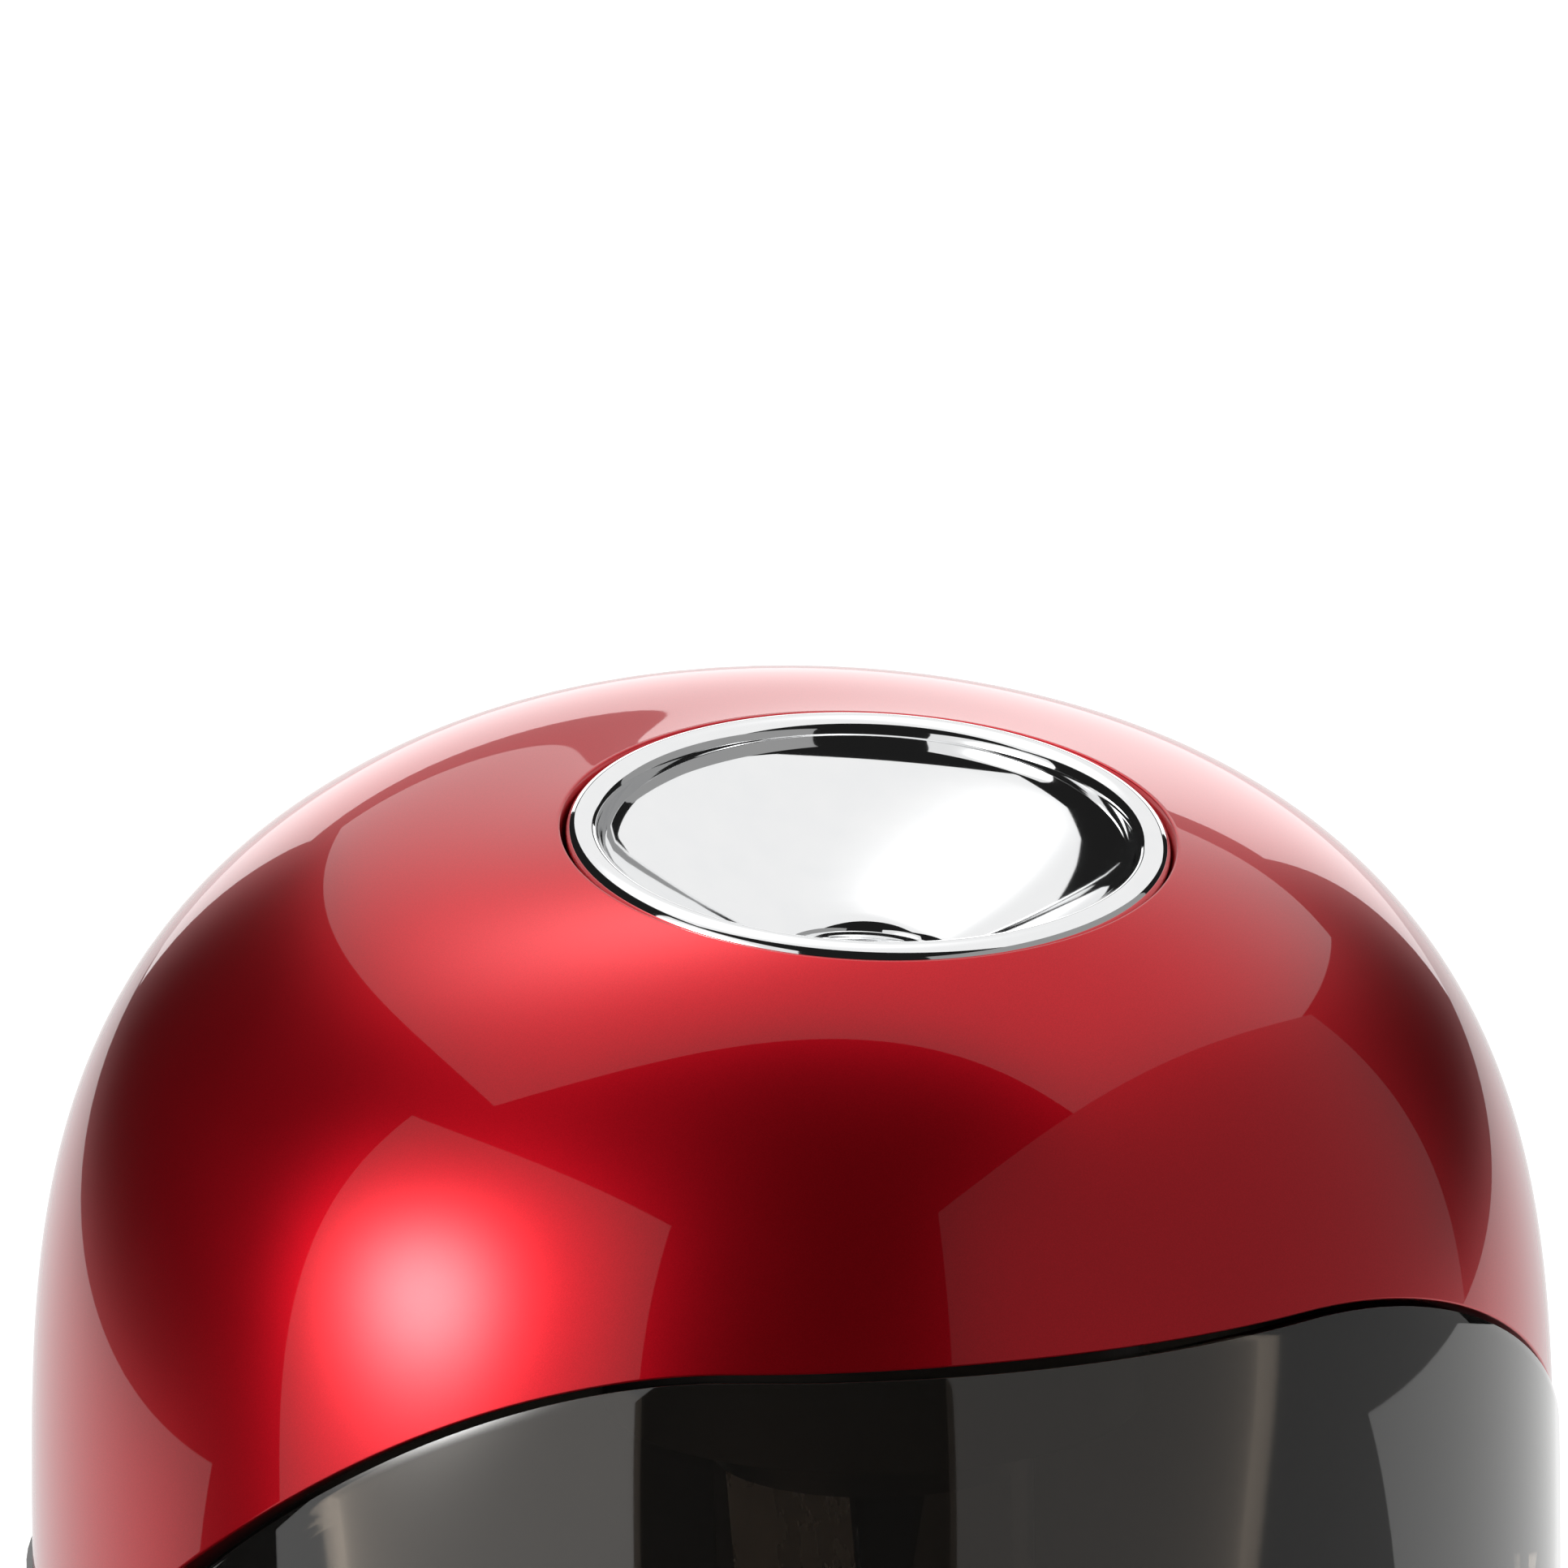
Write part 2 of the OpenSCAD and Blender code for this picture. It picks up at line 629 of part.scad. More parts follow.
upper_housing();
funnel();
shavings_bin();
lower_housing();
base_plate();
ballast_plate();
feet();
base_screws();
housing_screws();
gear_frame();
gear_cover();
cover_screws();
frame_screws();
lower_bush();
upper_bush();
cutter_holder();
cutter_blade();
blade_screw();
drive_gear();
retaining_ring();
idler_gear();
idler_axle();
pinion();
motor_shaft();
motor_armature();
motor_can();
motor_magnets();
motor_end_cap();
motor_terminals();
motor_screws();
start_lever();
lever_pin();
lever_spring();
start_switch();
start_plunger();
interlock_switch();
interlock_plunger();
dc_jack();
jack_pin();
wires();
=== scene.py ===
"""Finishes and lighting for an upright pencil sharpener with a domed red housing.

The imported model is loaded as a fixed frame. The dome, the funnel and the drawer are modelled
again. The plain pieces are copies of their nodes with rounded edges, and the wires are a copy
with softer bends. Every other node keeps its shape. Each of them gets its material.
"""
import json
import math

import bpy
from mathutils import Matrix, Vector


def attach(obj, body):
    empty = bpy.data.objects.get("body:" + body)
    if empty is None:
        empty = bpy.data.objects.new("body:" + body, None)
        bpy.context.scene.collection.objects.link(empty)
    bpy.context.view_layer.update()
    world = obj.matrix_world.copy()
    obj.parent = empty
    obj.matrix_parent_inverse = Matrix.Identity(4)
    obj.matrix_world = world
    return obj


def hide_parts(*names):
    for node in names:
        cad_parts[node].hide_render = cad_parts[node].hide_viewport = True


bl_info = {
    "name": "Pencil Sharpener Looks",
    "version": (1, 0, 0),
    "blender": (4, 5, 0),
    "location": "View3D > Sidebar > Sharpener",
    "description": "Shells, finishes and studio for a domed electric pencil sharpener",
    "category": "Add Mesh",
}

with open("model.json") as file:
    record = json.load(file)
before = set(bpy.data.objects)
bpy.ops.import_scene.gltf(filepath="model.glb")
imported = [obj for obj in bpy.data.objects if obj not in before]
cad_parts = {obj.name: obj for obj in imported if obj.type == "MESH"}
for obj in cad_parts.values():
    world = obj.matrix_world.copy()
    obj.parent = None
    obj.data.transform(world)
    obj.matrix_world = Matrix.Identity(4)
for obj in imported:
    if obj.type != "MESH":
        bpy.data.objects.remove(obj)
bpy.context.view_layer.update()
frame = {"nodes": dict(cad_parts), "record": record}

MM = 0.001
TURN = 2 * math.pi

# Housing, in millimetres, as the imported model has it
WAIST_Z = 54
BODY_R = 43
DOME_H = 50
DOME_UP = 3.4
DOME_OUT = 2
TAPER_R = 180
PROUD = 0.35
ARCH_X = 17
ARCH_Z = 50.5
ARCH_R = 26.3
RIM_AT = Vector((0, -13.5, 100.3))
RIM_TURN = Matrix.Rotation(math.radians(8), 3, "X")
BORE_AT = Vector((0, -13.5, 0))


# ---------------------------------------------------------------- mesh helpers


def let_go():
    """Leaves nothing selected, in object mode."""
    if bpy.context.object and bpy.context.object.mode != "OBJECT":
        bpy.ops.object.mode_set(mode="OBJECT")
    bpy.ops.object.select_all(action="DESELECT")


def pick(piece, *others):
    """Selects these objects only, with the first one active."""
    let_go()
    for each in (piece, *others):
        each.select_set(True)
    bpy.context.view_layer.objects.active = piece


def weld(piece, distance=0.002, flip=False):
    """Merges doubles and turns every face outwards."""
    pick(piece)
    bpy.ops.object.mode_set(mode="EDIT")
    bpy.ops.mesh.select_all(action="SELECT")
    bpy.ops.mesh.remove_doubles(threshold=distance * MM)
    bpy.ops.mesh.normals_make_consistent(inside=flip)
    bpy.ops.object.mode_set(mode="OBJECT")


def apply(piece, kind, **settings):
    """Adds a modifier with these settings and applies it."""
    pick(piece)
    mod = piece.modifiers.new(kind.title(), kind)
    for name, value in settings.items():
        setattr(mod, name, value)
    bpy.ops.object.modifier_apply(modifier=mod.name)


def round_edges(piece, width, degrees=50, segments=2):
    """Rounds every edge sharper than the angle."""
    apply(piece, "BEVEL", width=width * MM, segments=segments, limit_method="ANGLE",
          angle_limit=math.radians(degrees), use_clamp_overlap=True, harden_normals=False)


def smooth(piece, degrees=35):
    pick(piece)
    bpy.ops.object.shade_smooth_by_angle(angle=math.radians(degrees))


def wrapped(name, columns, rows, place):
    """A grid laid over a surface: place(s, t) gives a point in millimetres for s and t from 0 to 1."""
    let_go()
    bpy.ops.mesh.primitive_grid_add(x_subdivisions=columns, y_subdivisions=rows, size=2)
    piece = bpy.context.object
    piece.name = piece.data.name = name
    for v in piece.data.vertices:
        v.co = Vector(place((v.co.x + 1) / 2, (v.co.y + 1) / 2)) * MM
    return piece


def spun(name, outline, centre=(0, 0), steps=128):
    """A closed outline of (radius, height) turned about a vertical axis, all in millimetres."""
    let_go()
    bpy.ops.mesh.primitive_circle_add(vertices=len(outline), radius=MM)
    piece = bpy.context.object
    piece.name = piece.data.name = name
    for v, (r, h) in zip(piece.data.vertices, outline):
        v.co = Vector((r, 0, h)) * MM
    bpy.ops.object.mode_set(mode="EDIT")
    bpy.ops.mesh.select_all(action="SELECT")
    bpy.ops.mesh.spin(steps=steps, angle=TURN, center=(0, 0, 0), axis=(0, 0, 1))
    bpy.ops.object.mode_set(mode="OBJECT")
    weld(piece, 0.004)
    shift(piece, (*centre, 0))
    return piece


def shift(piece, by, turn=None):
    """Moves a mesh, after an optional turn, and leaves its object at the origin."""
    move = Matrix.Translation(Vector(by) * MM)
    if turn is not None:
        move = move @ turn.to_4x4()
    piece.data.transform(move)
    piece.data.update()


def block(name, low, high):
    """A box between two corners."""
    low, high = Vector(low), Vector(high)
    let_go()
    bpy.ops.mesh.primitive_cube_add(size=1, location=(low + high) / 2 * MM, scale=(high - low) * MM)
    return settled(name)


def settled(name):
    """Names the new active object and puts its place into its mesh."""
    piece = bpy.context.object
    piece.name = piece.data.name = name
    pick(piece)
    bpy.ops.object.transform_apply(location=True, rotation=True, scale=True)
    return piece


def cut(piece, *tools, operation="DIFFERENCE"):
    """Cuts each tool out of a piece, or adds it, and removes the tool."""
    for tool in tools:
        apply(piece, "BOOLEAN", operation=operation, object=tool, solver="EXACT")
        bpy.data.objects.remove(tool)


def joined(name, *parts):
    pick(*parts)
    bpy.ops.object.join()
    parts[0].name = parts[0].data.name = name
    return parts[0]


def hand_over(piece, body, node, material, degrees=35):
    """Smooths a finished piece and lets it stand for a node."""
    smooth(piece, degrees)
    piece.data.materials.clear()
    piece.data.materials.append(material)
    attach(piece, body)
    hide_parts(node)


# ---------------------------------------------------------------- outline of the housing


class Outline:
    """Half outline of the housing, set in by inset, with its length measured from the foot up."""

    def __init__(self, inset, low=0.8, lower=60, upper=400):
        self.points = [(BODY_R - inset - (WAIST_Z - z) ** 2 / (2 * TAPER_R), z)
                       for z in (low + (WAIST_Z - low) * i / lower for i in range(lower))]
        for i in range(upper + 1):
            t = math.pi / 2 * (i / upper) ** 1.6
            self.points.append(((BODY_R - inset) * max(math.cos(t), 0) ** (2 / DOME_OUT),
                                WAIST_Z + (DOME_H - inset) * math.sin(t) ** (2 / DOME_UP)))
        self.lengths = [0]
        self.waist = lower
        for (r0, z0), (r1, z1) in zip(self.points, self.points[1:]):
            self.lengths.append(self.lengths[-1] + math.hypot(r1 - r0, z1 - z0))

    def at(self, length):
        """(radius, height) at a length along the outline."""
        length = min(max(length, 0), self.lengths[-1])
        low, high = 0, len(self.lengths) - 1
        while high - low > 1:
            mid = (low + high) // 2
            low, high = (mid, high) if self.lengths[mid] <= length else (low, mid)
        share = (length - self.lengths[low]) / (self.lengths[high] - self.lengths[low] or 1)
        (r0, z0), (r1, z1) = self.points[low], self.points[high]
        return r0 + (r1 - r0) * share, z0 + (z1 - z0) * share

    def where(self, passed, start=0.0):
        """The length at which passed(radius, height) first turns true."""
        low, high = start, self.lengths[-1]
        for _ in range(40):
            mid = (low + high) / 2
            low, high = (low, mid) if passed(*self.at(mid)) else (mid, high)
        return high

    def point(self, azimuth, length):
        r, z = self.at(length)
        return Vector((r * math.sin(azimuth), -r * math.cos(azimuth), z))


def past_arch(azimuth, radius):
    """A test for being outside the arched seam, on the meridian at this azimuth."""
    def passed(r, z):
        across = max(abs(r * math.sin(azimuth)) - ARCH_X, 0)
        return math.hypot(across, max(z - ARCH_Z, 0)) > radius
    return passed


def eased(t, ends=0.25):
    """0 to 1, slower at both ends, so that rows crowd towards the edges of a sheet."""
    return t - ends * math.sin(TURN * t) / TURN


# ---------------------------------------------------------------- shader helpers


class Value:
    """A shader socket that takes part in Python arithmetic."""

    def __init__(self, sheet, socket):
        self.sheet, self.socket = sheet, socket

    def math(self, operation, *others):
        return self.sheet.node("ShaderNodeMath", {"operation": operation}, self, *others)

    def __add__(self, other):
        return self.math("ADD", other)

    __radd__ = __add__

    def __mul__(self, other):
        return self.math("MULTIPLY", other)

    __rmul__ = __mul__

    def clear_of(self, low, high):
        """0 below low, 1 above high, and smooth between."""
        return self.sheet.node("ShaderNodeMapRange", {"interpolation_type": "SMOOTHSTEP"},
                               self, low, high, 0.0, 1.0)


class Finish:
    """A material or world being built from nodes."""

    def __init__(self, name, owner=None):
        self.owner = owner or bpy.data.materials.new(name)
        self.owner.use_nodes = True
        self.tree = self.owner.node_tree
        self.tree.nodes.clear()

    def node(self, kind, settings=None, *values, out=0, **named):
        """Makes a node, sets it up, then feeds its sockets in order and by name."""
        made = self.tree.nodes.new(kind)
        for key, value in (settings or {}).items():
            if key == "stops":
                ramp = made.color_ramp.elements
                while len(ramp) < len(value):
                    ramp.new(0.5)
                for stop, (place, colour) in zip(ramp, value):
                    stop.position, stop.color = place, colour
            else:
                setattr(made, key, value)
        pairs = list(zip((s for s in made.inputs if s.enabled), values))
        pairs += [(made.inputs[key.replace("_", " ")], value) for key, value in named.items()]
        for socket, value in pairs:
            if isinstance(value, Value):
                self.tree.links.new(value.socket, socket)
            elif value is not None:
                socket.default_value = value
        if isinstance(out, str):
            return Value(self, made.outputs[out])
        return Value(self, [s for s in made.outputs if s.enabled][out])

    def noise(self, scale, detail=2.0, rough=0.5, stretch=(1, 1, 1)):
        """Noise whose features are about 1/scale millimetres across."""
        where = self.node("ShaderNodeTexCoord", None, out="Object")
        spread = tuple(1000 * s for s in stretch)
        where = self.node("ShaderNodeMapping", None, where, Scale=spread)
        return self.node("ShaderNodeTexNoise", None, Vector=where, Scale=scale, Detail=detail,
                         Roughness=rough, out="Fac")

    def blend(self, share, first, second):
        """A colour between two, by a value."""
        return self.node("ShaderNodeMix", {"data_type": "RGBA"}, share, first, second)

    def bump(self, height, strength, distance_mm):
        return self.node("ShaderNodeBump", None, Height=height, Strength=strength,
                         Distance=distance_mm * MM)

    def surface(self, **inputs):
        return self.node("ShaderNodeBsdfPrincipled", None, **inputs)

    def done(self, shader, kind="ShaderNodeOutputMaterial"):
        out = self.tree.nodes.new(kind)
        self.tree.links.new(shader.socket, out.inputs["Surface"])
        return self.owner


def rgba(colour):
    return (*colour[:3], 1.0)


def tones(colour, factor):
    """The same colour, darker or lighter."""
    return (*(min(c * factor, 1.0) for c in colour[:3]), 1.0)


# ---------------------------------------------------------------- settings


def colour_prop(name, description, default):
    return bpy.props.FloatVectorProperty(name=name, description=description, default=default,
                                         size=3, subtype="COLOR", min=0, max=1)


def size_prop(name, description, millimetres):
    return bpy.props.FloatProperty(name=name, description=description, default=millimetres * MM,
                                   unit="LENGTH", min=0, precision=5)


class SharpenerColours(bpy.types.PropertyGroup):
    """Colours of the shells and of the parts inside."""

    lacquer: colour_prop("Lacquer", "Metallic red of the dome", (0.62, 0.003, 0.013))
    # Painted shade: this darker red stands in for metallic flakes turned away from the light, laid in at
    # random by the flake noise
    lacquer_deep: colour_prop("Lacquer flake shade", "Red where the flakes lie away", (0.51, 0.001, 0.009))
    smoke: colour_prop("Smoke tint", "What the drawer's wall lets through", (0.66, 0.60, 0.54))
    shell: colour_prop("Rear shell", "Dark grey of the lower half", (0.018, 0.018, 0.019))
    moulding: colour_prop("Mouldings", "Black plastic of the gearbox", (0.02, 0.02, 0.021))
    acetal: colour_prop("Gears", "White plastic of the gears", (0.78, 0.76, 0.70))
    floor: colour_prop("Floor", "Pale floor of the studio", (0.92, 0.92, 0.92))


class SharpenerSizes(bpy.types.PropertyGroup):
    """Small sizes that only the looks need."""

    lip: size_prop("Dome lip", "Rounding along the edges of the dome", 0.28)
    bin_edge: size_prop("Drawer edge", "Rounding along the edges of the drawer", 0.35)
    flake: size_prop("Flake", "Size of the flakes in the lacquer", 0.06)
    reach: size_prop("Camera distance", "From the camera to the sharpener", 3000)
    frame_width: size_prop("Frame width", "Width that the camera takes in", 88.6)


# ---------------------------------------------------------------- finishes


def lacquer_finish(colours, sizes):
    f = Finish("RedLacquer")
    flakes = f.noise(MM / sizes.flake, 1.0)
    drift = f.noise(0.06, 2.0)
    # Painted shade in the colour: the flake speckle darkens the red where it stands in for flakes turned
    # away from the light; the slow drift mixes the same two reds as the paint's own uneven tone
    tone = f.blend((flakes * 0.7 + drift * 0.3).clear_of(0.3, 0.7),
                   rgba(colours.lacquer_deep), rgba(colours.lacquer))
    grain = f.bump(flakes, 0.04, 0.02)
    return f.done(f.surface(Base_Color=tone, Metallic=0.92, Roughness=0.31 + 0.05 * drift,
                            Normal=grain, Coat_Weight=1.0, Coat_Roughness=0.02, Coat_IOR=1.38))


def chrome_finish():
    f = Finish("FunnelChrome")
    wear = f.noise(0.5, 4.0)
    tone = f.blend(wear, (0.91, 0.92, 0.93, 1), (0.97, 0.97, 0.97, 1))
    return f.done(f.surface(Base_Color=tone, Metallic=1.0, Roughness=0.03 + 0.03 * wear))


def smoke_finish(colours):
    """Smoke plastic: a tinted see-through body, with a mirror gloss that grows at glancing angles."""
    f = Finish("SmokePlastic")
    haze = f.noise(0.08, 3.0)
    tint = f.blend(haze, tones(colours.smoke, 0.9), tones(colours.smoke, 1.1))
    see = f.node("ShaderNodeBsdfTransparent", None, tint)
    body = f.surface(Base_Color=tones(colours.smoke, 0.04), Roughness=0.3, Specular_IOR_Level=0.0)
    within = f.node("ShaderNodeMixShader", None, 0.1 + 0.06 * haze, see, body)
    edge = f.node("ShaderNodeFresnel", None, 1.55)
    mirror = f.surface(Base_Color=(0.95, 0.95, 0.94, 1), Metallic=1.0, Roughness=0.025 + 0.015 * haze)
    share = (edge * 1.6 + 0.01).math("MINIMUM", 1.0)
    return f.done(f.node("ShaderNodeMixShader", None, share, within, mirror))


def gloss_finish(name, colour, rough=0.16, scale=0.12):
    f = Finish(name)
    cloud = f.noise(scale, 3.0)
    fine = f.noise(2.5, 2.0)
    tone = f.blend(cloud, tones(colour, 0.9), tones(colour, 1.12))
    return f.done(f.surface(Base_Color=tone, Roughness=rough + 0.05 * fine,
                            Normal=f.bump(fine, 0.05, 0.02), Specular_IOR_Level=0.5))


def moulded_finish(name, colour, rough=0.5, grain=3.0, depth=0.25, metal=0.0):
    """Spark-eroded plastic or a matt part, with a fine even grain."""
    f = Finish(name)
    fine = f.noise(grain, 3.0, 0.6)
    cloud = f.noise(0.15, 2.0)
    tone = f.blend(fine * 0.5 + cloud * 0.5, tones(colour, 0.82), tones(colour, 1.15))
    return f.done(f.surface(Base_Color=tone, Roughness=rough + 0.15 * fine, Metallic=metal,
                            Normal=f.bump(fine, depth, 0.05)))


def metal_finish(name, colour, rough=0.25, stretch=(0.2, 0.2, 4.0), depth=0.12):
    """Drawn, turned or ground metal, with its marks along one direction."""
    f = Finish(name)
    marks = f.noise(1.4, 4.0, 0.6, stretch)
    cloud = f.noise(0.3, 2.0)
    tone = f.blend(marks * 0.6 + cloud * 0.4, tones(colour, 0.84), tones(colour, 1.1))
    return f.done(f.surface(Base_Color=tone, Metallic=1.0, Roughness=rough + 0.16 * marks,
                            Normal=f.bump(marks, depth, 0.02)))


def armature_finish():
    """Stacked laminations with a lacquered copper winding between them."""
    f = Finish("Armature")
    layers = f.noise(6.0, 1.0, 0.5, (0.02, 0.02, 1.0))
    wire = f.noise(2.2, 2.0, 0.5, (0.3, 0.3, 3.0))
    tone = f.blend(wire.clear_of(0.42, 0.58), (0.22, 0.21, 0.2, 1), (0.55, 0.2, 0.07, 1))
    return f.done(f.surface(Base_Color=tone, Metallic=0.8, Roughness=0.35 + 0.2 * layers,
                            Normal=f.bump(layers, 0.3, 0.1)))


FINISHED = {}
INSIDE = {
    "grey_shell": lambda c: gloss_finish("GreyShell", c.shell),
    "black_plastic": lambda c: moulded_finish("BlackMoulding", c.moulding),
    "foot_rubber": lambda c: moulded_finish("FootRubber", (0.022, 0.022, 0.023), 0.72, 1.6, 0.4),
    "steel": lambda c: metal_finish("PlatedSteel", (0.6, 0.6, 0.61)),
    "blade_steel": lambda c: metal_finish("GroundSteel", (0.66, 0.67, 0.69), 0.2, (0.4, 0.4, 0.1), 0.03),
    "can_steel": lambda c: metal_finish("ZincCan", (0.5, 0.51, 0.53), 0.32, (0.1, 0.1, 2.0)),
    "ballast_iron": lambda c: moulded_finish("PressedIron", (0.1, 0.1, 0.105), 0.5, 0.9, 0.5, 0.9),
    "bush_bronze": lambda c: metal_finish("SinteredBronze", (0.45, 0.27, 0.12), 0.4, (1, 1, 1), 0.3),
    "pinion_brass": lambda c: metal_finish("TurnedBrass", (0.72, 0.5, 0.16), 0.22),
    "contact_brass": lambda c: metal_finish("TinnedBrass", (0.74, 0.6, 0.3), 0.25),
    "gear_acetal": lambda c: moulded_finish("WhiteAcetal", c.acetal, 0.34, 1.2, 0.08),
    "cutter_alloy": lambda c: metal_finish("CutterAlloy", (0.05, 0.05, 0.053), 0.34, (1, 1, 1), 0.2),
    "magnet": lambda c: moulded_finish("Ferrite", (0.06, 0.06, 0.063), 0.6, 2.0, 0.4),
    "armature": lambda c: armature_finish(),
    "switch_button": lambda c: moulded_finish("RedButton", (0.6, 0.05, 0.02), 0.4),
    "wire_jacket": lambda c: moulded_finish("WireJacket", (0.5, 0.015, 0.012), 0.38, 0.8, 0.12),
}


def slot_finish(slot, colours):
    """The finish of a material slot, made once."""
    if slot not in FINISHED:
        FINISHED[slot] = INSIDE[slot](colours)
    return FINISHED[slot]


# ---------------------------------------------------------------- pieces


def merged_copy(node, name):
    """A copy of a node's mesh with its doubles merged, selected and in object mode."""
    piece = bpy.data.objects.new(name, frame["nodes"][node].data.copy())
    piece.data.name = name
    bpy.context.scene.collection.objects.link(piece)
    pick(piece)
    bpy.ops.mesh.customdata_custom_splitnormals_clear()
    weld(piece, 0.01)
    return piece


def home_of(node):
    """The moving body that carries a node."""
    bodies = frame["record"]["behaviour"]["bodies"]
    return next(body for body, nodes in bodies.items() if node in nodes)


class SHARPENER_OT_dome(bpy.types.Operator):
    """Model the red dome, with its arched front edge and the lip round the funnel"""

    bl_idname = "sharpener.dome"
    bl_label = "Dome"

    # In millimetres: hole for the rim, lip under the rim's middle, width of the blend, wall and seam
    HOLE_R = 17.35
    LIP_DROP = -0.45
    FADE = 17.0
    WALL = 2.2
    SEAM = 0.25

    def rim_place(self, p):
        """Distance from the rim's axis, angle round it and height over it."""
        q = RIM_TURN.inverted() @ (p - RIM_AT)
        return math.hypot(q.x, q.y), math.atan2(q.x, -q.y), q.z

    def hole_edge(self, outline, angle):
        """(azimuth, length) of the point of the dome on the hole's edge at this angle."""
        azimuth, length = angle, outline.lengths[-1] - self.HOLE_R
        side = Vector((math.sin(angle), -math.cos(angle), 0)) * self.HOLE_R
        height = 0.0
        for _ in range(30):
            p = RIM_AT + RIM_TURN @ (side + Vector((0, 0, height)))
            radius = math.hypot(p.x, p.y)
            azimuth = math.atan2(p.x, -p.y)
            length = outline.where(lambda r, z: r < radius, outline.lengths[outline.waist])
            height = self.rim_place(outline.point(azimuth, length))[2]
        return azimuth, length, height

    def execute(self, context):
        sizes, colours = context.scene.sharpener_sizes, context.scene.sharpener_colours
        outline = Outline(0)
        seam = outline.where(lambda r, z: z > WAIST_Z + self.SEAM)
        columns, rows = 224, 84
        low, high = [], []
        for i in range(columns + 1):
            angle = math.pi * (2 * i / columns - 1)
            length = seam
            if abs(angle) < math.pi / 2:
                length = max(seam, outline.where(past_arch(angle, ARCH_R), seam))
            low.append((angle, length))
            high.append(self.hole_edge(outline, angle))
        high[0] = (-math.pi, *high[0][1:])
        high[-1] = (math.pi, *high[-1][1:])

        def place(s, t):
            i = min(round(s * columns), columns)
            (a0, u0), (a1, u1, _) = low[i], high[i]
            t = eased(t, 0.5)
            share = t * t * (3 - 2 * t)
            p = outline.point(a0 + (a1 - a0) * share, u0 + (u1 - u0) * t)
            far, angle, _ = self.rim_place(p)
            near = max(0.0, 1 - (far - self.HOLE_R) / self.FADE)
            near = near * near * (3 - 2 * near)
            column = min(max((angle / math.pi + 1) / 2 * columns, 0), columns - 1e-6)
            j, part = int(column), column % 1
            lift = high[j][2] * (1 - part) + high[j + 1][2] * part
            return p + RIM_TURN @ Vector((0, 0, (self.LIP_DROP - lift) * near))

        dome = wrapped("upper_housing_shell", columns, rows, place)
        weld(dome)
        apply(dome, "SOLIDIFY", thickness=self.WALL * MM, offset=-1, use_even_offset=True)
        apply(dome, "BEVEL", width=sizes.lip, segments=3, limit_method="ANGLE",
              angle_limit=math.radians(50))
        hand_over(dome, "housing", "upper_housing", lacquer_finish(colours, sizes))
        return {"FINISHED"}


class SHARPENER_OT_funnel(bpy.types.Operator):
    """Model the bright funnel: a round bead, a bowl and the tube under it"""

    bl_idname = "sharpener.funnel"
    bl_label = "Funnel"

    def execute(self, context):
        bead = [(16 + math.cos(a), -1 + math.sin(a))
                for a in (math.radians(d) for d in range(-80, 171, 10))]
        bowl = [(14.95, -1.33), (14.7, -1.68), (14.25, -2.13), (13.45, -2.8), (12.45, -3.57), (11.35, -4.35),
                (10.15, -5.14), (8.9, -5.88), (7.6, -6.58), (6.4, -7.18), (5.5, -7.6), (4.9, -8.0),
                (4.6, -8.55), (4.6, -9.6)]
        under = [(5.6, -9.8), (7.6, -8.95), (9.6, -7.9), (11.6, -6.6), (13.2, -5.2), (14.4, -3.9),
                 (15.3, -2.9), (15.8, -2.3)]
        cup = spun("funnel_bowl", bead + bowl + under, steps=160)
        shift(cup, RIM_AT, RIM_TURN)
        tube = spun("funnel_tube", [(4.5, 82.6), (5.8, 82.6), (6.0, 82.8), (6.0, 91.0), (4.5, 91.0)],
                    centre=BORE_AT[:2], steps=72)
        cut(tube, block("slot", (-1.6, -12, 81), (1.6, -1.5, 85.6)))
        funnel = joined("funnel_chromed", cup, tube)
        hand_over(funnel, "housing", "funnel", chrome_finish(), 40)
        return {"FINISHED"}


